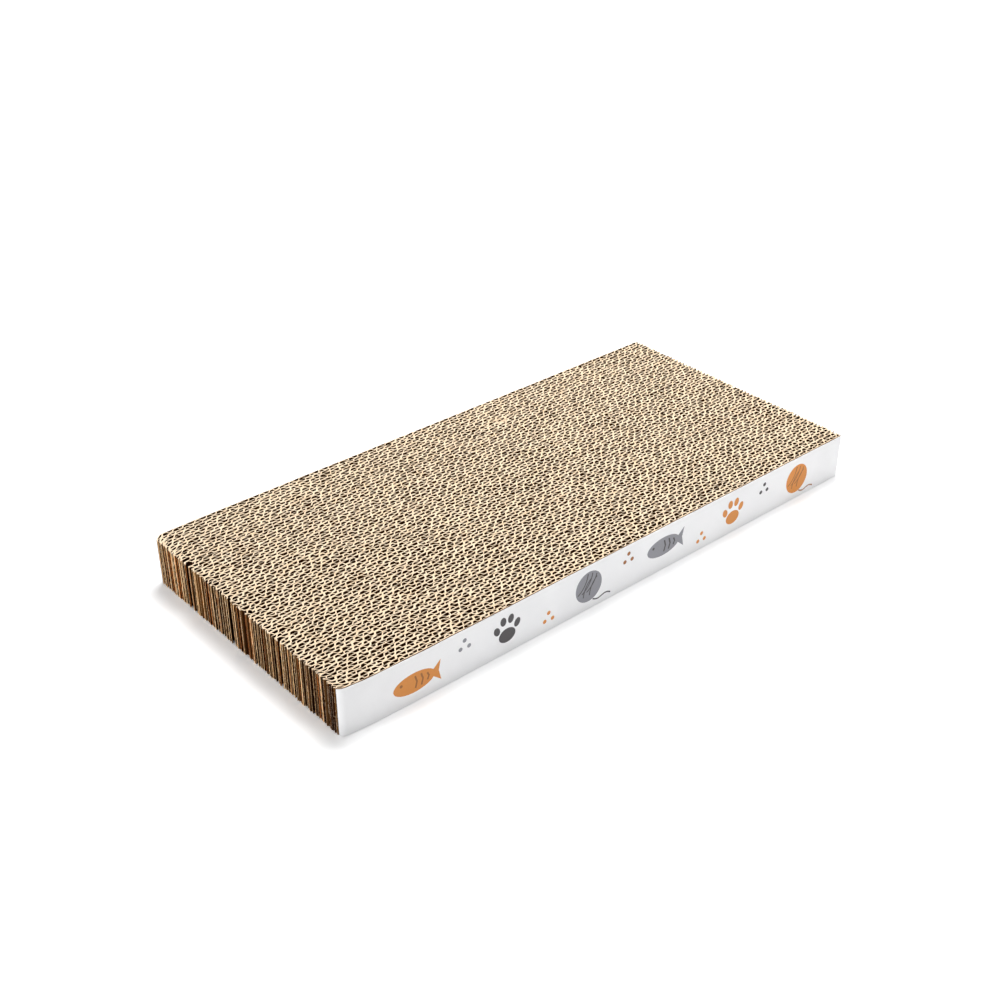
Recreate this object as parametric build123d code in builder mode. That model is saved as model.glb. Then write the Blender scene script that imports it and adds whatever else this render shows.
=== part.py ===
from build123d import *
import math
import os

# Cardboard scratching pad. Strips of double-wall corrugated board stand on edge with their
# flutes upright, glued side by side, and a sheet of white card is glued to each long side.
# X runs along the strips, Y across them from front to back, and Z up. The origin is the
# middle of the underside. All lengths are in millimetres.

# The pad
pad_length = 430.0
pad_height = 33.0
strip_count = 32

# The board: small flutes between two liners, then large flutes closed by a third liner
liner_thickness = 0.25
small_flute_height = 2.1
large_flute_height = 3.4
large_flute_pitch = 7.95

# How far each strip's flutes lie along from those of the strip before it, of one pitch
flute_shift_share = 0.38

# Upright corners of the stack of strips: the left ones are pushed in, the right ones crisp
front_left_radius = 8.0
back_left_radius = 10.0
right_radius = 3.0

# White card on the long sides, which stops short of the strips' upper edges
card_thickness = 0.6
card_setback = 0.6

# How far a profile is drawn past an edge that trims it
overrun = 5.0

# The large flutes stand open on a backing that holds the small flutes and the liners
backing_thickness = 3 * liner_thickness + small_flute_height
strip_thickness = backing_thickness + large_flute_height
stack_width = strip_count * strip_thickness
left_end = -pad_length / 2
right_end = pad_length / 2
front_side = -stack_width / 2
back_side = stack_width / 2

os.makedirs("parts", exist_ok=True)


def corner_land(front_gap, back_gap, front_radius, back_radius):
    """Length at a strip's end where a rounded corner has crushed the flutes shut."""
    if front_gap < front_radius:
        return front_radius
    if back_gap < back_radius:
        return back_radius
    return 0


def flute_run(index, front_gap, back_gap):
    """First and last crest of a strip's open flutes, and how many flutes lie between them."""
    left_land = corner_land(front_gap, back_gap, front_left_radius, back_left_radius)
    right_land = corner_land(front_gap, back_gap, right_radius, right_radius)
    shift = (index * flute_shift_share % 1) * large_flute_pitch
    first = left_end + left_land if left_land else left_end - shift
    room = (right_end - right_land - first) / large_flute_pitch
    count = math.floor(room) if right_land else math.ceil(room)
    return first, first + count * large_flute_pitch, count


def strip_profile(index):
    """Points round one strip, seen from above: straight front face, zigzag back face."""
    front_gap = index * strip_thickness
    back_gap = stack_width - front_gap - strip_thickness
    first, last, count = flute_run(index, front_gap, back_gap)
    front = front_side + front_gap
    valley = front + backing_thickness
    crest = front + strip_thickness
    left = left_end - large_flute_pitch - overrun
    right = right_end + large_flute_pitch + overrun
    points = [(left, crest), (left, front), (right, front), (right, crest)]
    for flute in range(count):
        flute_end = last - flute * large_flute_pitch
        points.append((flute_end, crest))
        points.append((flute_end - large_flute_pitch / 2, valley))
    points.append((first, crest))
    return points


# Outline of the whole stack of strips, which trims their ends and corners
with BuildSketch() as stack_outline:
    Rectangle(pad_length, stack_width)
    corners = (
        (left_end, front_side, front_left_radius),
        (left_end, back_side, back_left_radius),
        (right_end, front_side, right_radius),
        (right_end, back_side, right_radius),
    )
    for corner_x, corner_y, radius in corners:
        fillet(stack_outline.vertices().sort_by_distance((corner_x, corner_y))[0], radius)

# The strips, from front to back
for index in range(strip_count):
    name = f"strip_{index + 1:02d}"
    with BuildPart() as strip:
        with BuildSketch():
            with BuildLine():
                Polyline(*strip_profile(index), close=True)
            make_face()
            add(stack_outline.sketch, mode=Mode.INTERSECT)
        extrude(amount=pad_height)
    strip.part.label = name
    export_step(strip.part, f"parts/{name}.step")


def card_sheet(left_radius):
    """Front card: bent round both corners until its outer face is level with the strips' ends."""
    left_wrap = math.degrees(math.asin(left_radius / (left_radius + card_thickness)))
    right_wrap = math.degrees(math.asin(right_radius / (right_radius + card_thickness)))
    left_centre = (left_end + left_radius, front_side + left_radius)
    right_centre = (right_end - right_radius, front_side + right_radius)
    with BuildPart() as sheet:
        with BuildSketch():
            with BuildLine():
                left_bend = CenterArc(left_centre, left_radius, 270 - left_wrap, left_wrap)
                right_bend = CenterArc(right_centre, right_radius, 270, right_wrap)
                Line(left_bend @ 1, right_bend @ 0)
                offset(amount=card_thickness, side=Side.RIGHT)
            make_face()
        extrude(amount=pad_height - card_setback)
    return sheet


front_card = card_sheet(front_left_radius)
front_card.part.label = "front_card"
export_step(front_card.part, "parts/front_card.step")

with BuildPart() as back_card:
    mirror(card_sheet(back_left_radius).part, about=Plane.XZ)
back_card.part.label = "back_card"
export_step(back_card.part, "parts/back_card.step")
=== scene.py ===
import math

import bpy
import numpy as np
from mathutils import Matrix, Vector
from mathutils.geometry import delaunay_2d_cdt


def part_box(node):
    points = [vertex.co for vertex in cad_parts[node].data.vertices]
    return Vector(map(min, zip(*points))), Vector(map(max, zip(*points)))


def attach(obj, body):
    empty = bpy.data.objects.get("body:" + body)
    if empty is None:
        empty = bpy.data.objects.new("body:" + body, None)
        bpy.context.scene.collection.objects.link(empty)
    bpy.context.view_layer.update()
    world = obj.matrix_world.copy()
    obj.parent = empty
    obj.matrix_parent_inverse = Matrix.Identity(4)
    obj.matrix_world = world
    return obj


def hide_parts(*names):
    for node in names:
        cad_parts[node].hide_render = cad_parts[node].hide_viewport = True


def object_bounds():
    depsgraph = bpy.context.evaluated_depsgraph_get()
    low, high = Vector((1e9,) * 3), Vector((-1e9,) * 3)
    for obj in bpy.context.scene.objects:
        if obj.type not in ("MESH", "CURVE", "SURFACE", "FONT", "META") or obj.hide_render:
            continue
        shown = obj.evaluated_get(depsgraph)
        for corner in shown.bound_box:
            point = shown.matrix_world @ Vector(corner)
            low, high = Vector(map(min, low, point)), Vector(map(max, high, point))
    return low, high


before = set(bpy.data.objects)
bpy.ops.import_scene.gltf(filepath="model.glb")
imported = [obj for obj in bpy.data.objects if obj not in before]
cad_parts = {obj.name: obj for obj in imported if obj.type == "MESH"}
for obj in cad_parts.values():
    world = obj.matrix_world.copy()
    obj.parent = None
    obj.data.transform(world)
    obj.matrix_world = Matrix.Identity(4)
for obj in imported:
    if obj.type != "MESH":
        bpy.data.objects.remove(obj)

mm = 0.001
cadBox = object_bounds()  # the bare solids, before anything is dressed
padLow, padHigh = cadBox
leftEnd, rightEnd, padTop = padLow.x, padHigh.x, padHigh.z
padLength = rightEnd - leftEnd
stripNames = sorted(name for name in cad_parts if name.startswith("strip_"))
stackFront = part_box(stripNames[0])[0].y
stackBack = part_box(stripNames[-1])[1].y
print("frame loaded with", len(stripNames), "strips")


# Shader helpers

def newMaterial(name):
    material = bpy.data.materials.new(name)
    material.use_nodes = True
    tree = material.node_tree
    return material, tree, tree.nodes["Principled BSDF"]


def setSocket(tree, socket, value):
    if isinstance(value, bpy.types.NodeSocket):
        tree.links.new(value, socket)
    else:
        socket.default_value = value


def addNode(tree, kind, settings=None, **inputs):
    node = tree.nodes.new("ShaderNode" + kind)
    for key, value in (settings or {}).items():
        setattr(node, key, value)
    for key, value in inputs.items():
        setSocket(tree, node.inputs[key.replace("_", " ")], value)
    return node


def noiseAt(tree, coords, scale, detail, stretch=(1.0, 1.0, 1.0)):
    spread = addNode(tree, "Mapping", Vector=coords, Scale=stretch)
    noise = addNode(tree, "TexNoise", Vector=spread.outputs["Vector"], Scale=scale, Detail=detail)
    return noise.outputs["Fac"]


def rangeOf(tree, value, low, high, toLow=0.0, toHigh=1.0):
    node = addNode(tree, "MapRange", Value=value, From_Min=low, From_Max=high, To_Min=toLow, To_Max=toHigh)
    return node.outputs["Result"]


def mathOf(tree, operation, first, second=0.0):
    node = addNode(tree, "Math", {"operation": operation})
    setSocket(tree, node.inputs[0], first)
    setSocket(tree, node.inputs[1], second)
    return node.outputs["Value"]


def blendColours(tree, share, first, second, how="MIX"):
    node = addNode(tree, "Mix", {"data_type": "RGBA", "blend_type": how})
    for number, value in ((0, share), (6, first), (7, second)):  # the Mix node's own numbers for colours
        setSocket(tree, node.inputs[number], (*value, 1.0) if isinstance(value, tuple) else value)
    return node.outputs[2]


def tinted(tree, colour, tint):
    return blendColours(tree, 1.0, colour, tint, "MULTIPLY")


def attributeOf(tree, name):
    return addNode(tree, "Attribute", {"attribute_name": name}).outputs["Fac"]


def finishPaper(tree, shader, colour, fibres, finish):
    # what all papers share: roughness and bump follow the fibres
    tree.links.new(colour, shader.inputs["Base Color"])
    tree.links.new(rangeOf(tree, fibres, *finish["roughness"]), shader.inputs["Roughness"])
    bump = addNode(tree, "Bump", Strength=finish["bump"], Distance=finish["bumpHeight"], Height=fibres)
    tree.links.new(bump.outputs["Normal"], shader.inputs["Normal"])
    shader.inputs["Specular IOR Level"].default_value = finish["gloss"]


# Kraft paper of the liners and the waves, darker or lighter by each sheet's own tone
kraft = {
    "liner": (0.290, 0.092, 0.015),
    "linerFleck": (0.190, 0.058, 0.009),
    "wave": (0.290, 0.140, 0.044),
    "waveFleck": (0.200, 0.090, 0.026),
    "cutEdge": (0.990, 0.818, 0.612),
    "cutFleck": (0.930, 0.660, 0.400),
    "paintedShade": (0.084, 0.026, 0.001),  # painted shade inside the flutes
    # darker painted shade in the pockets near the strips' ends, over the reach below
    "paintedShadeNearEnds": (0.024, 0.006, 0.001),
    "paintedShadeNearEndsReach": (3.0 * mm, 12.0 * mm),
    "topShadeFade": (0.0 * mm, 0.5 * mm),  # walls turn from their colour to the painted shade between these depths from a cut
    "linerEndShadeFade": (0.0 * mm, 0.6 * mm),
    "waveEndShadeFade": (0.3 * mm, 1.7 * mm),
    "endTintAndShade": (0.920, 0.700, 0.480),  # the strips' ends are browner than their upper edges, and darker with painted shade
    "endTintAndShadeFade": (0.45 * mm, 1.2 * mm),
    "endCutPaintedShade": 0.30,  # painted shade on the ends' cut edges: share of the edge's colour left at the depth below
    "endCutPaintedShadeDepth": 2.6 * mm,
    "endBeadHighlight": (1.000, 0.920, 0.820),  # painted highlights: torn fibres catch the light in small dots
    "endRusset": (0.420, 0.130, 0.028),  # some papers are redder than the rest
    "paperFibres": {"scale": 1900.0, "detail": 4.0, "stretch": (0.25, 1.0, 1.0)},
    "paperBlotches": {"scale": 70.0, "detail": 2.0},
    "fluff": {"scale": 2300.0, "detail": 2.0, "stretch": (1.0, 1.0, 0.6)},
    "cutFibres": {"scale": 1600.0, "detail": 4.0},
    "cutPatches": {"scale": 160.0, "detail": 2.0},
    "highlightBeads": {"scale": 850.0, "detail": 1.0},
    # ranges: values from and to, then what they become where that isn't nought to one
    "fleckRange": (0.38, 0.72),
    "blotchRange": (0.3, 0.7, 0.0, 0.35),
    "fringeRange": (0.82, 1.0),
    "fluffRange": (0.36, 0.62, 0.25, 1.0),
    "cutFleckRange": (0.42, 0.75),
    "cutPatchRange": (0.45, 0.75, 0.0, 0.5),
    "hueTurns": 10.0,  # a sheet's hue is what is left of its tone times this
    "russetRange": (0.70, 0.80),
    "highlightBeadRange": (0.46, 0.58),
    "highlightBeadShare": (0.20, 0.60, 1.0, 0.12),
    "paperFinish": {
        "roughness": (0.3, 0.7, 0.78, 0.95), "bump": 0.25, "bumpHeight": 0.08 * mm, "gloss": 0.02,
    },
    "cutFinish": {
        "roughness": (0.3, 0.7, 0.85, 1.0), "bump": 0.5, "bumpHeight": 0.1 * mm, "gloss": 0.05,
    },
}


def depthsFromCuts(tree, coords):
    place = addNode(tree, "SeparateXYZ", Vector=coords).outputs
    fromEnds = mathOf(tree, "MINIMUM", mathOf(tree, "SUBTRACT", place["X"], leftEnd),
                      mathOf(tree, "SUBTRACT", rightEnd, place["X"]))
    fromTops = mathOf(tree, "MINIMUM", place["Z"], mathOf(tree, "SUBTRACT", padTop, place["Z"]))
    return fromEnds, fromTops


def kraftPaper(name, colour, fleck, endShadeFade):
    material, tree, shader = newMaterial(name)
    coords = addNode(tree, "TexCoord").outputs["Object"]
    fibres = noiseAt(tree, coords, **kraft["paperFibres"])
    blotches = noiseAt(tree, coords, **kraft["paperBlotches"])
    fluff = noiseAt(tree, coords, **kraft["fluff"])
    paper = blendColours(tree, rangeOf(tree, fibres, *kraft["fleckRange"]), colour, fleck)
    paper = blendColours(tree, rangeOf(tree, blotches, *kraft["blotchRange"]), paper, fleck)
    paper = tinted(tree, paper, attributeOf(tree, "tone"))
    # painted shade: walls darker away from the cuts, darkest just behind the strips' ends
    fromEnds, fromTops = depthsFromCuts(tree, coords)
    shadeFromEnds = rangeOf(tree, fromEnds, *endShadeFade)
    paintedShadeShare = mathOf(tree, "MINIMUM", shadeFromEnds, rangeOf(tree, fromTops, *kraft["topShadeFade"]))
    middle = rangeOf(tree, fromEnds, *kraft["paintedShadeNearEndsReach"])
    paintedShade = blendColours(tree, middle, kraft["paintedShadeNearEnds"], kraft["paintedShade"])
    paper = blendColours(tree, paintedShadeShare, paper, paintedShade)
    # pale fringe at the cuts
    fringe = rangeOf(tree, attributeOf(tree, "frayed"), *kraft["fringeRange"])
    fringe = mathOf(tree, "MULTIPLY", fringe, rangeOf(tree, fluff, *kraft["fluffRange"]))
    paper = blendColours(tree, fringe, paper, kraft["cutEdge"])
    finishPaper(tree, shader, paper, fibres, kraft["paperFinish"])
    return material


def cutPaper(name):
    material, tree, shader = newMaterial(name)
    coords = addNode(tree, "TexCoord").outputs["Object"]
    fibres = noiseAt(tree, coords, **kraft["cutFibres"])
    patches = noiseAt(tree, coords, **kraft["cutPatches"])
    flecks = rangeOf(tree, fibres, *kraft["cutFleckRange"])
    edge = blendColours(tree, flecks, kraft["cutEdge"], kraft["cutFleck"])
    edge = blendColours(tree, rangeOf(tree, patches, *kraft["cutPatchRange"]), edge, kraft["cutFleck"])
    # the strips' ends: browner and darker with painted shade, each sheet in its own tone and hue, dotted
    # with painted highlights where torn fibres catch the light
    fromEnds, fromTops = depthsFromCuts(tree, coords)
    tone = attributeOf(tree, "tone")
    hue = mathOf(tree, "FRACT", mathOf(tree, "MULTIPLY", tone, kraft["hueTurns"]))
    endEdge = tinted(tree, tinted(tree, edge, kraft["endTintAndShade"]), tone)
    endEdge = blendColours(tree, rangeOf(tree, hue, *kraft["russetRange"]), endEdge, kraft["endRusset"])
    # painted highlights in small dots, more on some papers than on others
    highlightDots = rangeOf(tree, noiseAt(tree, coords, **kraft["highlightBeads"]), *kraft["highlightBeadRange"])
    highlightDots = mathOf(tree, "MULTIPLY", highlightDots, rangeOf(tree, hue, *kraft["highlightBeadShare"]))
    endEdge = blendColours(tree, highlightDots, endEdge, tinted(tree, edge, kraft["endBeadHighlight"]))
    # painted shade: the ends' cut edges darken with depth behind the end
    endCutPaintedShade = rangeOf(tree, fromEnds, 0.0, kraft["endCutPaintedShadeDepth"], 1.0, kraft["endCutPaintedShade"])
    endEdge = tinted(tree, endEdge, endCutPaintedShade)
    edge = blendColours(tree, rangeOf(tree, fromTops, *kraft["endTintAndShadeFade"]), edge, endEdge)
    finishPaper(tree, shader, edge, fibres, kraft["cutFinish"])
    return material


linerKraft = kraftPaper("kraft liner", kraft["liner"], kraft["linerFleck"], kraft["linerEndShadeFade"])
waveKraft = kraftPaper("kraft wave", kraft["wave"], kraft["waveFleck"], kraft["waveEndShadeFade"])
cutEdge = cutPaper("cut board edge")
print("kraft materials made")


# Shape of the whole stack: left corners pushed in, rows swaying a little
stack = {
    "frontBend": 5.0 * mm,
    "frontLean": 3.0 * mm,
    "backBend": 8.0 * mm,
    "backLean": 0.8 * mm,
    "rightBend": 3.0 * mm,
    "leanLength": 16.0 * mm,
    "leastRun": 0.5 * mm,
    "pushDepth": 40.0 * mm,
    "pushPower": 1.3,
    "sway": 0.30 * mm,
    "swayLengths": (171.0 * mm, 67.0 * mm),
    "swayDrift": (9.0, 23.0),  # radians of drift per metre across the rows
    "swaySwing": 7.0,  # radians by which the drift shifts the sway
    "calmPower": 4,
}


def sidePush(run, bend, lean):
    run = np.maximum(run, stack["leastRun"])
    left = np.maximum(bend - run, 0)
    return bend - np.sqrt(bend ** 2 - left ** 2) + lean * np.exp(-run / stack["leanLength"])


def placeInStack(x, y):
    fromLeft = x - leftEnd
    rightPush = sidePush(rightEnd - x, stack["rightBend"], 0)
    frontPush = sidePush(fromLeft, stack["frontBend"], stack["frontLean"]) + rightPush
    backPush = sidePush(fromLeft, stack["backBend"], stack["backLean"]) + rightPush
    frontShare = np.clip(1 - (y - stackFront) / stack["pushDepth"], 0, 1) ** stack["pushPower"]
    backShare = np.clip(1 - (stackBack - y) / stack["pushDepth"], 0, 1) ** stack["pushPower"]
    calm = 1 - (2 * y / (stackBack - stackFront)) ** stack["calmPower"]  # the outer faces stay straight
    sway = 0
    for length, drift in zip(stack["swayLengths"], stack["swayDrift"]):
        sway = sway + np.sin(2 * math.pi * x / length + stack["swaySwing"] * np.sin(drift * y))
    return y + frontPush * frontShare - backPush * backShare + stack["sway"] * calm * sway


# The corrugated strips: five papers each, liner, small wave, liner, large wave, liner
halfWaveSteps = 5  # columns of points on each half wave
board = {
    "seed": 4107,
    # lip is the width of the crushed cut edge, knots the columns between two knots of a sheet's noise
    "liner": {"paper": 0.30 * mm, "lip": 0.48 * mm, "lipSpread": 0.90, "knots": 2, "slot": 0},
    "wave": {"paper": 0.26 * mm, "lip": 0.74 * mm, "lipSpread": 0.45, "knots": 2 * halfWaveSteps, "slot": 1},
    "cutSlot": 2,
    "smallPitch": 6.5 * mm,
    "largePitch": 7.95 * mm,
    "smallShare": 0.470,  # of the room between the liners
    "smallFacing": 0.15,  # share of waves whose wall faces front left where the left end cuts it
    "largeFacing": 0.80,
    "facingStart": (1.0, 1.15),  # pitches by which such a wave's first crest lies ahead of the cut
    "slantingStart": (0.45, 0.75),  # and that of the others
    "spareCrests": 6,
    "sink": 0.04 * mm,  # crests press this far into the liners
    "crestFlat": 0.30,
    "pitchJitter": 0.10,
    "crestJitter": 0.15,
    "limpShare": 0.06,  # crests that have come away from their liner
    "limpDrop": 0.35,
    "lean": (0.05, 0.30),  # of all waves, and how far it strays
    "leanKnots": 6 * halfWaveSteps,
    "endMargin": 0.1 * mm,
    "linerStep": 2.0 * mm,
    "linerRipple": 0.18 * mm,
    "rippleKnots": 2,
    "lipDepth": 0.9 * mm,
    "lipFold": 0.24,  # edges are folded one way, so walls leaning left show less of it
    "lipFoldSlope": 2,
    "neck": 1.1,  # of the paper's thickness, just below the upper lip
    "bendDepth": 4.5 * mm,
    "bend": 0.21 * mm,
    "fineBend": 0.6,  # share of the bend
    "neckBend": 0.7,
    "ankleBend": 0.6,
    "stripDrop": 0.22 * mm,
    "edgeDrop": 0.18 * mm,
    "leftRag": 0.45 * mm,
    "rightRag": 0.5 * mm,
    "sheetRag": 0.75 * mm,
    "endLevels": 27,
    "endLevelJitter": 0.3,
    "endTopGap": 0.05 * mm,
    "endReach": 0.95 * mm,
    "endSteps": (0.0, 0.4, 1.0),  # shares of endReach, counted from the tip
    "endFading": (1.0, 0.30, 0.0),  # how frayed the paper is at these steps
    "endPaper": 0.9,  # of the paper's thickness, behind the frayed tip
    "endLip": (0.26 * mm, 0.64 * mm),
    "endSpread": 0.35,
    "endFray": 0.15 * mm,
    "endBend": 0.06 * mm,
    "endWander": 1.5,  # slow bends against the quick ones
    "endWanderKnots": 7,
    "shortSheets": {  # strip and paper, counted from nought, whose left end is torn back
        (14, 4): 5.0 * mm, (15, 0): 4.5 * mm, (15, 2): 2.5 * mm, (17, 4): 2.0 * mm, (18, 0): 2.0 * mm,
        (25, 1): 4.0 * mm, (25, 2): 4.5 * mm, (26, 0): 4.5 * mm, (26, 1): 5.0 * mm,
        (9, 2): 1.8 * mm, (4, 4): 1.2 * mm, (22, 0): 1.4 * mm,
    },
    "tone": (0.45, 1.55),
    "sharpAngle": 60,
}
crushedSpots = (
    {"x": 49.0 * mm, "y": 72.0 * mm, "halfLength": 6.0 * mm, "halfWidth": 2.8 * mm, "share": 1.0},
    {"x": 34.5 * mm, "y": 70.5 * mm, "halfLength": 4.5 * mm, "halfWidth": 1.6 * mm, "share": 0.6},
)
crush = {"lip": 2.0 * mm, "lipRange": (0.2, 1.0), "drop": 0.5 * mm, "power": 4}


def smoothNoise(rng, count, spacing):
    knots = rng.uniform(-1, 1, int(count / spacing) + 4)
    place = np.arange(count) / spacing + rng.random()
    cell = place.astype(int)
    part = place - cell
    part = part * part * (3 - 2 * part)
    return knots[cell] * (1 - part) + knots[cell + 1] * part


def waveLine(rng, pitch, low, high, start, stop, facing):
    count = int((stop - start) / (pitch / 2)) + board["spareCrests"]
    facesFront = rng.random() < facing
    ahead = rng.uniform(*(board["facingStart"] if facesFront else board["slantingStart"]))
    crestX = start - pitch * ahead + pitch / 2 * np.arange(count)
    crestX = crestX + rng.uniform(-1, 1, count) * board["pitchJitter"] * pitch
    short = rng.uniform(0, board["crestJitter"], count)
    short = np.where(rng.random(count) < board["limpShare"], board["limpDrop"] * rng.random(count), short)
    up = np.arange(count) % 2 == 0
    crestY = np.where(up, high - short * (high - low), low + short * (high - low))
    place = np.arange((count - 1) * halfWaveSteps) / halfWaveSteps
    cell = place.astype(int)
    part = place - cell
    flat = board["crestFlat"]
    ease = 0.5 - 0.5 * np.cos(math.pi * np.clip((part - flat) / (1 - 2 * flat), 0, 1))
    x = crestX[cell] + (crestX[cell + 1] - crestX[cell]) * part
    y = crestY[cell] + (crestY[cell + 1] - crestY[cell]) * ease
    lean, stray = board["lean"]
    x = x + (lean + stray * smoothNoise(rng, len(x), board["leanKnots"])) * (y - (low + high) / 2)
    inside = (x > start + board["endMargin"]) & (x < stop - board["endMargin"])
    xs = np.concatenate(([start], x[inside], [stop]))
    return xs, np.interp(xs, x, y)


def linerLine(rng, middle, start, stop):
    x = np.linspace(start, stop, int((stop - start) / board["linerStep"]))
    return x, middle + board["linerRipple"] * smoothNoise(rng, len(x), board["rippleKnots"])


def spotShare(x, y):
    share = 0
    for spot in crushedSpots:
        along = ((x - spot["x"]) / spot["halfLength"]) ** crush["power"]
        across = ((y - spot["y"]) / spot["halfWidth"]) ** crush["power"]
        share = share + spot["share"] * np.exp(-along - across)
    return share


def shellPoints(x, y, z, thick, normal):
    half = thick[..., None] / 2 * normal
    front = np.stack((x - half[..., 0], y - half[..., 1], z), -1).reshape(-1, 3)
    back = np.stack((x + half[..., 0], y + half[..., 1], z), -1).reshape(-1, 3)
    points = np.concatenate((front, back))
    points[:, 0] = np.clip(points[:, 0], leftEnd, rightEnd)
    foremost = placeInStack(points[:, 0], np.full(len(points), stackFront))
    hindmost = placeInStack(points[:, 0], np.full(len(points), stackBack))
    points[:, 1] = np.clip(points[:, 1], foremost, hindmost)
    return points


def lineNormals(x, y):
    slopeX, slopeY = np.gradient(x), np.gradient(y)
    size = np.hypot(slopeX, slopeY)
    return np.stack((-slopeY / size, slopeX / size), 1)


def paperSheet(rng, x, y, kind, stripDrop):
    # one paper as a closed thin shell: five heights, thicker where it was cut
    count, knots = len(x), kind["knots"]
    normal = lineNormals(x, y)
    spot = spotShare(x, y)
    drop = stripDrop + board["edgeDrop"] * (0.5 + 0.5 * smoothNoise(rng, count, 2 * knots))
    drop = drop + crush["drop"] * spot
    slowBend = smoothNoise(rng, count, 2 * knots)
    bend = board["bend"] * (slowBend + board["fineBend"] * smoothNoise(rng, count, knots))
    footBend = board["bend"] * smoothNoise(rng, count, 2 * knots)
    slant = np.minimum(1, board["lipFoldSlope"] * np.abs(normal[:, 0]))
    fold = 1 - board["lipFold"] * np.sign(normal[:, 0]) * slant
    topLip = kind["lip"] * fold * (1 + kind["lipSpread"] * smoothNoise(rng, count, knots / 2))
    topLip = topLip + crush["lip"] * spot * rng.uniform(*crush["lipRange"], count)
    footLip = kind["lip"] * fold * (1 + kind["lipSpread"] * smoothNoise(rng, count, knots / 2))
    plain = np.full(count, kind["paper"])
    zero = np.zeros(count)
    height = np.stack((zero, zero + board["lipDepth"], zero + padTop - board["bendDepth"],
                       padTop - board["lipDepth"] - drop, padTop - drop))
    push = np.stack((footBend, board["ankleBend"] * footBend, zero, board["neckBend"] * bend, bend))
    thick = np.stack((footLip, plain, plain, board["neck"] * plain, topLip))
    points = shellPoints(x + push * normal[:, 0], y + push * normal[:, 1], height, thick, normal)
    frayed = np.repeat((1.0, 0.0, 0.0, 0.0, 1.0), count)
    return points, np.tile(frayed, 2), len(height), count


def frayedEnd(rng, x, y, kind, stripDrop, atLeft):
    # crushed and ragged end of one paper, in many small steps from foot to top
    levels = board["endLevels"]
    steps = np.array(board["endSteps"]) * board["endReach"]
    columns = x[0] + steps if atLeft else x[-1] - steps[::-1]
    normal = np.stack([np.interp(columns, x, part) for part in lineNormals(x, y).T], 1)
    fade = np.array(board["endFading"] if atLeft else board["endFading"][::-1])
    height = np.linspace(0, padTop - stripDrop - board["endTopGap"], levels)
    jitter = board["endLevelJitter"]
    height[1:-1] += rng.uniform(-jitter, jitter, levels - 2) * height[1]
    lip = rng.uniform(*board["endLip"]) * (1 + board["endSpread"] * rng.uniform(-1, 1, levels))
    behind = board["endPaper"] * kind["paper"]
    thick = behind + fade * (lip[:, None] - behind)
    fray = board["endFray"] * rng.uniform(-1, 1, levels)[:, None] * fade
    quickBend = rng.uniform(-1, 1, levels)
    bend = quickBend + board["endWander"] * smoothNoise(rng, levels, board["endWanderKnots"])
    push = board["endBend"] * bend[:, None] * fade
    middleX = columns + fray + push * normal[:, 0]
    middleY = np.interp(columns, x, y) + push * normal[:, 1]
    heights = np.repeat(height[:, None], len(columns), 1)
    points = shellPoints(middleX, middleY, heights, thick, normal)
    return points, np.tile(np.tile(fade, levels), 2), levels, len(columns)


# corner orders of a shell's six groups of quads: front, back, top cut, foot cut, left cut, right cut
shellOrders = ((0, 1, 2, 3), (1, 0, 3, 2), (0, 1, 2, 3), (1, 0, 3, 2), (0, 1, 2, 3), (0, 3, 2, 1))
shellSides = 2  # the first two groups are the paper's own sides, the others its cuts


def quadsOf(grid, order):
    corners = (grid[:-1, :-1], grid[:-1, 1:], grid[1:, 1:], grid[1:, :-1])
    return np.stack([corners[i] for i in order], 2).reshape(-1, 4, *grid.shape[2:])


def shellFaces(levels, count):
    a = np.arange(levels * count).reshape(levels, count)
    b = a + levels * count
    grids = (a, b, np.stack((a[-1], b[-1])), np.stack((a[0], b[0])),
             np.stack((a[:, 0], b[:, 0])), np.stack((a[:, -1], b[:, -1])))
    return [quadsOf(grid, order) for grid, order in zip(grids, shellOrders)]


# Bake map of a strip: each side of a paper has a row of its own, and each cut edge a narrow one
stripMap = {
    "across": (0.002, 0.998),
    "sideRow": 0.084,
    "sideHeight": 0.082,
    "cutFoot": 0.84,
    "cutRow": 0.011,
    "cutHeight": 0.009,
    "endColumn": 0.1,  # left and right ends of all papers stand side by side in columns
    "endAcross": (0.003, 0.097),
    "endRow": (0.992, 0.998),
    "frayed": (  # the six groups of a frayed end: from and to in its column, foot and top
        (0.0, 0.094, 0.952, 0.960), (0.0, 0.094, 0.962, 0.970), (0.0, 0.04, 0.986, 0.990),
        (0.05, 0.094, 0.986, 0.990), (0.0, 0.094, 0.972, 0.977), (0.0, 0.094, 0.979, 0.984),
    ),
}


def shellMap(levels, count, spans, turned=False):
    maps = []
    sizes = ((levels, count), (levels, count), (2, count), (2, count), (2, levels), (2, levels))
    for group, (left, right, low, high) in enumerate(spans):
        rows, columns = sizes[group]
        across, upward = np.meshgrid(np.linspace(0, 1, columns), np.linspace(0, 1, rows))
        if turned and group < shellSides:
            across, upward = upward, across
        grid = np.stack((left + (right - left) * across, low + (high - low) * upward), -1)
        maps.append(quadsOf(grid, shellOrders[group]))
    return maps


def sheetSpans(sheet):
    spans = []
    for side in range(2):
        low = (2 * sheet + side) * stripMap["sideRow"]
        spans.append((*stripMap["across"], low, low + stripMap["sideHeight"]))
    for edge in range(2):
        low = stripMap["cutFoot"] + (2 * sheet + edge) * stripMap["cutRow"]
        spans.append((*stripMap["across"], low, low + stripMap["cutHeight"]))
    first, last = stripMap["endAcross"]
    for end in range(2):
        left = (2 * sheet + end) * stripMap["endColumn"]
        spans.append((left + first, left + last, *stripMap["endRow"]))
    return spans


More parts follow.
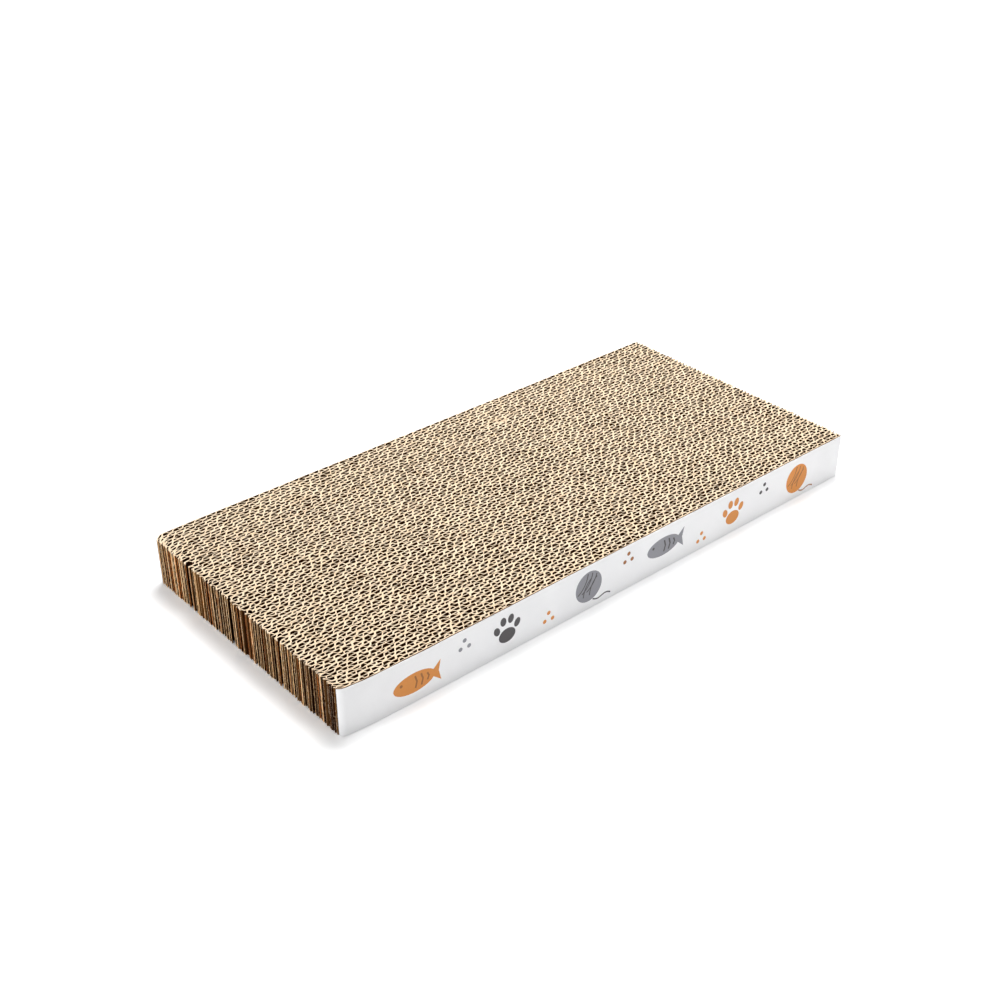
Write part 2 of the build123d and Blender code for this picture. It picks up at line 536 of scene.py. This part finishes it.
def endSpans(sheet, atLeft):
    left = (2 * sheet + (0 if atLeft else 1)) * stripMap["endColumn"] + stripMap["endAcross"][0]
    return [(left + first, left + last, low, high) for first, last, low, high in stripMap["frayed"]]


def pieceMesh(name, points, faces, materials, slots, places, sharpAngle):
    mesh = bpy.data.meshes.new(name)
    mesh.from_pydata(points, [], faces)
    for material in materials:
        mesh.materials.append(material)
    mesh.polygons.foreach_set("material_index", slots.astype(np.int32))
    mesh.polygons.foreach_set("use_smooth", np.ones(len(mesh.polygons), bool))
    bakeMap = mesh.uv_layers.new(name="OFBake")
    bakeMap.data.foreach_set("uv", places.astype(np.float32).ravel())
    mesh.set_sharp_from_angle(angle=math.radians(sharpAngle))
    mesh.update()
    return mesh


def sheetPlan(front, back):
    # foot of each paper's room, and for a wave its height, pitch and share of facing cuts
    liner = board["liner"]["paper"]
    room = back - front - 3 * liner
    small = room * board["smallShare"]
    return (
        (front, None, None, None),
        (front + liner, small, board["smallPitch"], board["smallFacing"]),
        (front + liner + small, None, None, None),
        (front + 2 * liner + small, room - small, board["largePitch"], board["largeFacing"]),
        (back - liner, None, None, None),
    )


def stripObject(index, name):
    rng = np.random.default_rng(board["seed"] + index)
    low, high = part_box(name)
    start = leftEnd + board["leftRag"] * rng.random() + board["endFray"]
    stop = rightEnd - board["rightRag"] * rng.random() - board["endFray"]
    stripDrop = board["stripDrop"] * rng.random()
    points, frays, tones, quads, slots, maps = [], [], [], [], [], []
    used = 0
    for sheet, (foot, tall, pitch, facing) in enumerate(sheetPlan(low.y, high.y)):
        begin = start + board["sheetRag"] * rng.random() + board["shortSheets"].get((index, sheet), 0)
        end = stop - board["sheetRag"] * rng.random()
        if pitch is None:
            kind = board["liner"]
            x, y = linerLine(rng, foot + kind["paper"] / 2, begin, end)
        else:
            kind = board["wave"]
            inset = kind["paper"] / 2 - board["sink"]
            x, y = waveLine(rng, pitch, foot + inset, foot + tall - inset, begin, end, facing)
        y = placeInStack(x, y)
        tone = rng.uniform(*board["tone"])
        shells = (
            (paperSheet(rng, x, y, kind, stripDrop), sheetSpans(sheet), False),
            (frayedEnd(rng, x, y, kind, stripDrop, True), endSpans(sheet, True), True),
            (frayedEnd(rng, x, y, kind, stripDrop, False), endSpans(sheet, False), True),
        )
        for (shell, frayed, levels, count), spans, turned in shells:
            for group, faces in enumerate(shellFaces(levels, count)):
                quads.append(faces + used)
                slots.append(np.full(len(faces), kind["slot"] if group < shellSides else board["cutSlot"]))
            maps += shellMap(levels, count, spans, turned)
            points.append(shell)
            frays.append(frayed)
            tones.append(np.full(len(shell), tone))
            used += len(shell)
    mesh = pieceMesh("fluted_" + name, np.concatenate(points), np.concatenate(quads),
                     (linerKraft, waveKraft, cutEdge), np.concatenate(slots), np.concatenate(maps),
                     board["sharpAngle"])
    for attribute, values in (("tone", tones), ("frayed", frays)):
        layer = mesh.attributes.new(attribute, "FLOAT", "POINT")
        layer.data.foreach_set("value", np.concatenate(values).astype(np.float32))
    piece = bpy.data.objects.new("fluted_" + name, mesh)
    bpy.context.scene.collection.objects.link(piece)
    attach(piece, "root")
    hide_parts(name)
    return piece


strips = [stripObject(index, name) for index, name in enumerate(stripNames)]
print("strips made:", sum(len(strip.data.polygons) for strip in strips), "faces")


# White card: print shapes first, each a list of (ink, outline) in millimetres round its own middle

def oval(x, y, wide, high, turn=0.0, points=28):
    a = np.linspace(0, 2 * math.pi, points, endpoint=False)
    c, s = math.cos(math.radians(turn)), math.sin(math.radians(turn))
    u, v = wide / 2 * np.cos(a), high / 2 * np.sin(a)
    return [(x + c * p - s * q, y + s * p + c * q) for p, q in zip(u, v)]


def band(line, wide):
    line = np.array(line, float)
    slope = np.gradient(line, axis=0)
    slope /= np.linalg.norm(slope, axis=1)[:, None]
    across = np.stack((-slope[:, 1], slope[:, 0]), 1) * wide / 2
    return [tuple(p) for p in np.concatenate((line - across, (line + across)[::-1]))]


def arcLine(x, y, radius, start, stop, points):
    a = np.radians(np.linspace(start, stop, points))
    return [(x + radius * math.cos(t), y + radius * math.sin(t)) for t in a]


fishShape = {
    "halfLength": 12,
    "halfHeight": 5.6,
    "shift": -2,
    "points": 16,  # on each half of the body
    "tail": ((8.0, 1.2), (13.5, 6.0), (12.2, 0.0), (13.5, -6.0), (8.0, -1.2)),
    "stripes": (-1.5, 2.0, 5.5),
    "stripeReach": 4.0,
    "stripeTaper": 0.35,
    "stripeBow": 1.0,
    "stripeWide": 1.0,
    "eye": (-9.5, 1.4, 1.7, 1.7),
    "eyePoints": 14,
}


def fish(body, stripes):
    wide, high, shift = fishShape["halfLength"], fishShape["halfHeight"], fishShape["shift"]
    upper, lower = np.linspace(0, math.pi, fishShape["points"]), np.linspace(math.pi, 0, fishShape["points"])
    outline = [(wide * math.cos(t) + shift, high * math.sin(t)) for t in upper]
    outline += [(wide * math.cos(t) + shift, -high * math.sin(t)) for t in lower[1:-1]]
    shapes = [(body, fishShape["tail"]), (body, outline)]
    for place in fishShape["stripes"]:
        reach = fishShape["stripeReach"] - fishShape["stripeTaper"] * abs(place)
        line = [(place, -reach), (place + fishShape["stripeBow"], 0), (place, reach)]
        shapes.append((stripes, band(line, fishShape["stripeWide"])))
    shapes.append((stripes, oval(*fishShape["eye"], points=fishShape["eyePoints"])))
    return shapes


pawShape = {
    "pad": (0, -3.2, 10.5, 8.2),
    "toes": ((-6.4, 1.6, 22), (-2.4, 5.6, 8), (2.4, 5.6, -8), (6.4, 1.6, -22)),
    "toeSize": (3.7, 5.2),
}


def paw(pads):
    shapes = [(pads, oval(*pawShape["pad"]))]
    for x, y, turn in pawShape["toes"]:
        shapes.append((pads, oval(x, y, *pawShape["toeSize"], turn)))
    return shapes


ballShape = {
    "size": 18,
    "points": 40,
    "threadWide": 0.7,
    "threadReach": 8.2,  # long threads stop this far from the middle
    "longThreads": (-3.2, 0, 3.2),  # shifts of one arc
    "longArc": (-11, 9, 13.5, -62, 2, 30),  # middle, radius, turned from and to, points
    "shortThreads": (-2.6, 1.6),
    "shortArc": (12, -6, 13.0, 128, 178, 12),
    "tailStart": (3, -8.8),
    "tailRun": (12.5, -1.4),
    "tailSwing": 0.9,
    "tailWide": 0.8,
    "tailPoints": 14,
}


def woolBall(wool, thread):
    shapes = [(wool, oval(0, 0, ballShape["size"], ballShape["size"], points=ballShape["points"]))]
    x, *arc = ballShape["longArc"]
    for shift in ballShape["longThreads"]:
        line = [p for p in arcLine(x + shift, *arc) if math.hypot(*p) < ballShape["threadReach"]]
        shapes.append((thread, band(line, ballShape["threadWide"])))
    x, *arc = ballShape["shortArc"]
    for shift in ballShape["shortThreads"]:
        shapes.append((thread, band(arcLine(x + shift, *arc), ballShape["threadWide"])))
    (x, y), (along, down), swing = ballShape["tailStart"], ballShape["tailRun"], ballShape["tailSwing"]
    tail = [(x + along * t, y + down * t - swing * math.sin(2 * math.pi * t))
            for t in np.linspace(0, 1, ballShape["tailPoints"])]
    shapes.append((thread, band(tail, ballShape["tailWide"])))
    return shapes


dotShape = {"size": 2.4, "points": 16, "places": ((-2.6, -1.6), (2.6, -1.6), (0, 2.6))}


def threeDots(colour):
    size, points = dotShape["size"], dotShape["points"]
    return [(colour, oval(x, y, size, size, points=points)) for x, y in dotShape["places"]]


inks = {
    "orange": (0.680, 0.262, 0.055),
    "brown": (0.330, 0.125, 0.034),
    "grey": (0.270, 0.270, 0.295),
    "charcoal": (0.075, 0.068, 0.072),
}
card = {
    "seed": 915,
    "thick": 0.599 * mm,
    "topGap": 0.6 * mm,  # the card stops short of the strips' cut edges
    "leftRun": 1.2 * mm,
    "rightRun": 0.65 * mm,
    "step": 4.0 * mm,
    "bendStep": 0.9 * mm,
    "bendRun": 26.0 * mm,
    "flatStop": 6.0 * mm,  # before the right end
    "endStart": 5.0 * mm,
    "endColumns": 6,
    "levels": 5,
    "edgeWave": 0.16 * mm,
    "edgeKnots": 6,
    "ripple": 0.06 * mm,
    "rippleKnots": 2,
    "sharpAngle": 50,
    "white": (0.905, 0.905, 0.912),
    "whiteShade": (0.830, 0.830, 0.842),
    "core": (0.860, 0.850, 0.830),
    "inkShade": (0.82, 0.02),  # share of the ink's colour, and what is added
    "fibres": {"scale": 1400.0, "detail": 3.0},
    "clouds": {"scale": 45.0, "detail": 2.0},
    "fibreRange": (0.5, 0.8, 0.0, 0.35),
    "cloudRange": (0.35, 0.75, 0.0, 0.5),
    "finish": {"roughness": (0.3, 0.7, 0.48, 0.62), "bump": 0.12, "bumpHeight": 0.05 * mm, "gloss": 0.35},
    "inkSlot": 2,  # inks follow the face and the cut edge among the materials
    "weld": 1e-4,
    "printScale": 1.22,
    "print": (  # motif, run from the left end and height, in millimetres
        (fish("orange", "brown"), 52, 14),
        (threeDots("grey"), 86, 22),
        (paw("charcoal"), 118, 17),
        (threeDots("orange"), 151, 10),
        (woolBall("grey", "charcoal"), 184, 17),
        (threeDots("brown"), 218, 23),
        (fish("grey", "charcoal"), 252, 18),
        (threeDots("orange"), 286, 9),
        (paw("orange"), 316, 16),
        (threeDots("charcoal"), 347, 22),
        (woolBall("orange", "brown"), 382, 16),
    ),
    "map": {  # foot of each zone on the bake map, the rows it is cut into and their height
        "face": (0.002, 4, 0.164), "glued": (0.672, 4, 0.052), "foot": (0.894, 4, 0.009),
        "top": (0.938, 4, 0.009), "start": (0.982, 1, 0.006), "end": (0.991, 1, 0.006),
    },
    "mapCuts": (0, 0.25, 0.5, 0.75, 1),
    "mapGap": 0.002,
}
cardTall = padTop - card["topGap"]


def coatedCard(name, colour, shade):
    material, tree, shader = newMaterial(name)
    coords = addNode(tree, "TexCoord").outputs["Object"]
    fibres = noiseAt(tree, coords, **card["fibres"])
    clouds = noiseAt(tree, coords, **card["clouds"])
    paper = blendColours(tree, rangeOf(tree, clouds, *card["cloudRange"]), colour, shade)
    paper = blendColours(tree, rangeOf(tree, fibres, *card["fibreRange"]), paper, shade)
    finishPaper(tree, shader, paper, fibres, card["finish"])
    return material


def printedInk(name, colour):
    share, added = card["inkShade"]
    return coatedCard(name, colour, tuple(share * part + added for part in colour))


whiteFace = coatedCard("white card face", card["white"], card["whiteShade"])
whiteCut = coatedCard("white card edge", card["core"], card["whiteShade"])
inkMaterials = {name: printedInk(name + " ink", colour) for name, colour in inks.items()}


def cardColumns():
    bends = np.arange(card["leftRun"], card["bendRun"], card["bendStep"])
    flat = np.linspace(card["bendRun"], padLength - card["flatStop"], int(padLength / card["step"]))
    ends = np.linspace(padLength - card["endStart"], padLength - card["rightRun"], card["endColumns"])
    return leftEnd + np.concatenate((bends, flat, ends))


def insideOutline(points, outline):
    inside = np.zeros(len(points), bool)
    for (x1, y1), (x2, y2) in zip(outline, outline[1:] + outline[:1]):
        if y1 != y2:
            crossing = x1 + (points[:, 1] - y1) * (x2 - x1) / (y2 - y1)
            inside ^= ((y1 > points[:, 1]) != (y2 > points[:, 1])) & (points[:, 0] < crossing)
    return inside


def mapPlaces(zone, cuts, spots):
    # where a face's corners, given as run and share of the zone's height, lie on the bake map
    low, rows, rowHeight = card["map"][zone]
    gap = card["mapGap"]
    cuts = cuts if rows > 1 else (cuts[0], cuts[-1])
    middle = sum(u for u, share in spots) / len(spots)
    row = min(max(int(np.searchsorted(cuts, middle)) - 1, 0), rows - 1)
    left, right = cuts[row], cuts[row + 1]
    low += row * (rowHeight + gap)
    return [(gap + (1 - 2 * gap) * (u - left) / (right - left), low + rowHeight * share)
            for u, share in spots]


def cardSheet(side):
    # the card's run along the strips and round their corners, with its wavy upper edge and ripple
    rng = np.random.default_rng(card["seed"] + side)
    x = cardColumns()
    inner = placeInStack(x, np.full(len(x), stackFront if side < 0 else stackBack))
    return {
        "side": side,
        "x": x,
        "inner": inner,
        "outward": side * lineNormals(x, inner),
        "run": np.concatenate(([0], np.cumsum(np.hypot(np.diff(x), np.diff(inner))))),
        "heights": np.linspace(0, cardTall, card["levels"]),
        "topWave": card["edgeWave"] * (0.5 + 0.5 * smoothNoise(rng, len(x), card["edgeKnots"])),
        "ripple": card["ripple"] * smoothNoise(rng, len(x), card["rippleKnots"]),
    }


def outerPoints(sheet, u, v):
    def atRun(values):
        return np.interp(u, sheet["run"], values)

    swell = card["thick"] - atRun(np.abs(sheet["ripple"])) * np.sin(math.pi * v / cardTall)
    x = atRun(sheet["x"]) + atRun(sheet["outward"][:, 0]) * swell
    y = atRun(sheet["inner"]) + atRun(sheet["outward"][:, 1]) * swell
    return np.stack((x, y, v * (1 - atRun(sheet["topWave"]) / cardTall)), 1)


def printedFace(sheet):
    # card grid and ink outlines triangulated together, flat, with each triangle's material
    side, run = sheet["side"], sheet["run"]
    places, lines, printed = [], [], []
    for u in run:
        lines.append((len(places), len(places) + 1))
        places += [(u, 0), (u, cardTall)]
    for v in sheet["heights"]:
        lines.append((len(places), len(places) + 1))
        places += [(run[0], v), (run[-1], v)]
    size = card["printScale"] * mm
    for shapes, along, high in card["print"]:
        middle = np.interp(leftEnd + along * mm if side < 0 else rightEnd - along * mm, sheet["x"], run)
        for ink, outline in shapes:
            if side > 0:
                outline = [(-p, q) for p, q in outline][::-1]
            outline = [(middle + p * size, high * mm + q * size) for p, q in outline]
            first = len(places)
            lines += [(first + i, first + (i + 1) % len(outline)) for i in range(len(outline))]
            places += outline
            printed.append((ink, outline))
    spots = [Vector((u / mm, v / mm)) for u, v in places]
    flat, _, faces, _, _, _ = delaunay_2d_cdt(spots, lines, [], 0, card["weld"], False)
    flat = np.array([tuple(spot) for spot in flat]) * mm
    triangles = [tuple(face) if side < 0 else tuple(reversed(face)) for face in faces]
    middles = flat[np.array(triangles)].mean(1)
    slots = np.zeros(len(triangles), int)
    for ink, outline in printed:
        slots[insideOutline(middles, outline)] = card["inkSlot"] + list(inks).index(ink)
    return flat, triangles, slots


def gluedFaceAndCuts(sheet, flat, cuts):
    # points of the glued face, then quads and map places for it and for the four cut edges
    side, run, heights = sheet["side"], sheet["run"], sheet["heights"]
    points, quads, maps, glued = [], [], [], {}
    for i, (x, y, wave) in enumerate(zip(sheet["x"], sheet["inner"], sheet["topWave"])):
        for k, v in enumerate(heights):
            glued[i, k] = len(flat) + len(points)
            points.append((x, y, v * (1 - wave / cardTall)))

    def onEdge(u, v):
        return int(np.argmin((flat[:, 0] - u) ** 2 + (flat[:, 1] - v) ** 2))

    def addQuad(zone, quad, spots):
        places = mapPlaces(zone, cuts, spots)
        quads.append(quad if side < 0 else quad[::-1])
        maps.append(places if side < 0 else places[::-1])

    levels, last = len(heights) - 1, len(run) - 1
    for i in range(last):
        here, there = run[i], run[i + 1]
        for k in range(levels):
            low, high = k / levels, (k + 1) / levels
            addQuad("glued", (glued[i + 1, k], glued[i, k], glued[i, k + 1], glued[i + 1, k + 1]),
                    [(there, low), (here, low), (here, high), (there, high)])
        addQuad("foot", (onEdge(there, 0), onEdge(here, 0), glued[i, 0], glued[i + 1, 0]),
                [(there, 0), (here, 0), (here, 1), (there, 1)])
        overHere, overThere = onEdge(here, cardTall), onEdge(there, cardTall)
        addQuad("top", (overHere, overThere, glued[i + 1, levels], glued[i, levels]),
                [(here, 0), (there, 0), (there, 1), (here, 1)])
    for k in range(levels):
        low, high = run[-1] * k / levels, run[-1] * (k + 1) / levels
        foot, top = heights[k], heights[k + 1]
        addQuad("start", (onEdge(run[0], foot), onEdge(run[0], top), glued[0, k + 1], glued[0, k]),
                [(low, 0), (high, 0), (high, 1), (low, 1)])
        addQuad("end", (onEdge(run[-1], top), onEdge(run[-1], foot), glued[last, k], glued[last, k + 1]),
                [(high, 0), (low, 0), (low, 1), (high, 1)])
    return points, quads, maps


def cardObject(node, name, side):
    # side is -1 for the front card and +1 for the back one
    sheet = cardSheet(side)
    run = sheet["run"]
    flat, triangles, slots = printedFace(sheet)
    cuts = [run[np.argmin(np.abs(run - share * run[-1]))] for share in card["mapCuts"]]
    faceSpots = [[(flat[i, 0], flat[i, 1] / cardTall) for i in face] for face in triangles]
    maps = [mapPlaces("face", cuts, spots) for spots in faceSpots]
    gluedPoints, quads, quadMaps = gluedFaceAndCuts(sheet, flat, cuts)
    points = np.concatenate((outerPoints(sheet, flat[:, 0], flat[:, 1]), gluedPoints))
    places = np.array([place for face in maps + quadMaps for place in face])
    mesh = pieceMesh(name, points, triangles + quads, (whiteFace, whiteCut, *inkMaterials.values()),
                     np.append(slots, np.ones(len(quads))), places, card["sharpAngle"])
    piece = bpy.data.objects.new(name, mesh)
    bpy.context.scene.collection.objects.link(piece)
    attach(piece, "root")
    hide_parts(node)
    return piece


cards = [cardObject("front_card", "printed_front_card", -1), cardObject("back_card", "printed_back_card", 1)]
print("cards made:", [len(piece.data.polygons) for piece in cards], "faces")


# Studio: pale floor, soft lamps, plain world
studio = {
    "white": (1.0, 1.0, 1.0, 1.0),
    "floorSize": 8.0,
    "floorGap": 0.05 * mm,  # between the floor and the pad's foot
    "floor": (0.900, 0.900, 0.900),
    "floorShade": (0.880, 0.880, 0.885),
    "floorClouds": {"scale": 3.0, "detail": 2.0},
    "floorRoughness": 0.9,
    "floorGloss": 0.1,
    "floorLift": (0.36, 1.0),  # added for the camera alone, near the pad and far off
    "floorLiftReach": (0.6, 1.6),
    "padShade": 3.0 * mm,
    "world": 0.12,
    "worldSeen": 1.0,
    "topLamp": {"place": (0.40, 0.32, 1.45), "size": 0.75, "power": 27.2},
    "frontLamp": {"place": (0.25, -1.40, 0.38), "size": 0.6, "power": 7.2},
    "sideLamp": {"place": (-1.26, 0.14, 0.18), "size": 0.3, "power": 7.6},
}


def floorMaterial():
    material, tree, shader = newMaterial("pale floor")
    coords = addNode(tree, "TexCoord").outputs["Object"]
    clouds = noiseAt(tree, coords, **studio["floorClouds"])
    colour = blendColours(tree, clouds, studio["floor"], studio["floorShade"])
    tree.links.new(colour, shader.inputs["Base Color"])
    shader.inputs["Roughness"].default_value = studio["floorRoughness"]
    shader.inputs["Specular IOR Level"].default_value = studio["floorGloss"]
    shader.inputs["Emission Color"].default_value = studio["white"]
    seen = addNode(tree, "LightPath").outputs["Is Camera Ray"]
    farOff = addNode(tree, "VectorMath", {"operation": "LENGTH"}, Vector=coords).outputs["Value"]
    lift = rangeOf(tree, farOff, *studio["floorLiftReach"], *studio["floorLift"])
    place = addNode(tree, "SeparateXYZ", Vector=coords).outputs
    pastEnds = mathOf(tree, "SUBTRACT", mathOf(tree, "ABSOLUTE", place["X"]), rightEnd)
    pastSides = mathOf(tree, "SUBTRACT", mathOf(tree, "ABSOLUTE", place["Y"]), padHigh.y)
    clear = rangeOf(tree, mathOf(tree, "MAXIMUM", pastEnds, pastSides), -studio["padShade"], 0.0)
    lift = mathOf(tree, "MULTIPLY", lift, clear)  # none under the pad
    tree.links.new(mathOf(tree, "MULTIPLY", seen, lift), shader.inputs["Emission Strength"])
    return material


def makeFloor():
    half = studio["floorSize"] / 2
    corners = [(-half, -half, 0), (half, -half, 0), (half, half, 0), (-half, half, 0)]
    mesh = bpy.data.meshes.new("studio_floor")
    mesh.from_pydata(corners, [], [(0, 1, 2, 3)])
    mesh.materials.append(floorMaterial())
    floor = bpy.data.objects.new("studio_floor", mesh)
    floor.location.z = padLow.z - studio["floorGap"]
    bpy.context.scene.collection.objects.link(floor)


def makeLamp(name, settings):
    data = bpy.data.lights.new(name, "AREA")
    data.size = settings["size"]
    data.energy = settings["power"]
    lamp = bpy.data.objects.new(name, data)
    lamp.location = settings["place"]
    lamp.visible_camera = False
    lamp.rotation_euler = (-Vector(settings["place"])).to_track_quat("-Z", "Y").to_euler()
    bpy.context.scene.collection.objects.link(lamp)


def makeWorld():
    world = bpy.data.worlds.new("studio world")
    world.use_nodes = True
    tree = world.node_tree
    background = tree.nodes["Background"]
    path = addNode(tree, "LightPath")
    seen = mathOf(tree, "MAXIMUM", path.outputs["Is Camera Ray"], path.outputs["Is Glossy Ray"])
    strength = rangeOf(tree, seen, 0, 1, studio["world"], studio["worldSeen"])
    background.inputs["Color"].default_value = studio["white"]
    tree.links.new(strength, background.inputs["Strength"])
    bpy.context.scene.world = world


makeFloor()
makeLamp("top lamp", studio["topLamp"])
makeLamp("front lamp", studio["frontLamp"])
makeLamp("side lamp", studio["sideLamp"])
makeWorld()
bpy.context.scene.view_settings.view_transform = "Standard"
print("studio made")


# Camera as fitted to the photograph's corners
view = {
    "azimuth": -40.93,
    "elevation": 31.80,
    "focalPixels": 1415.9,
    "imagePixels": 1000,
    "aside": 11.57 * mm,
    "above": -16.40 * mm,
    "away": 952.24 * mm,
    "sensor": 36.0,
}


def makeCamera():
    azimuth, elevation = math.radians(view["azimuth"]), math.radians(view["elevation"])
    back = Vector((math.sin(azimuth) * math.cos(elevation), -math.cos(azimuth) * math.cos(elevation),
                   math.sin(elevation)))
    right = (-back).cross(Vector((0, 0, 1))).normalized()
    up = right.cross(-back)
    place = -view["aside"] * right - view["above"] * up + view["away"] * back
    data = bpy.data.cameras.new("camera")
    data.sensor_width = view["sensor"]
    data.lens = view["focalPixels"] / view["imagePixels"] * view["sensor"]
    camera = bpy.data.objects.new("camera", data)
    camera.matrix_world = Matrix.Translation(place) @ Matrix((right, up, back)).transposed().to_4x4()
    bpy.context.scene.collection.objects.link(camera)
    bpy.context.scene.camera = camera


makeCamera()
print("camera placed")

bpy.context.view_layer.update()
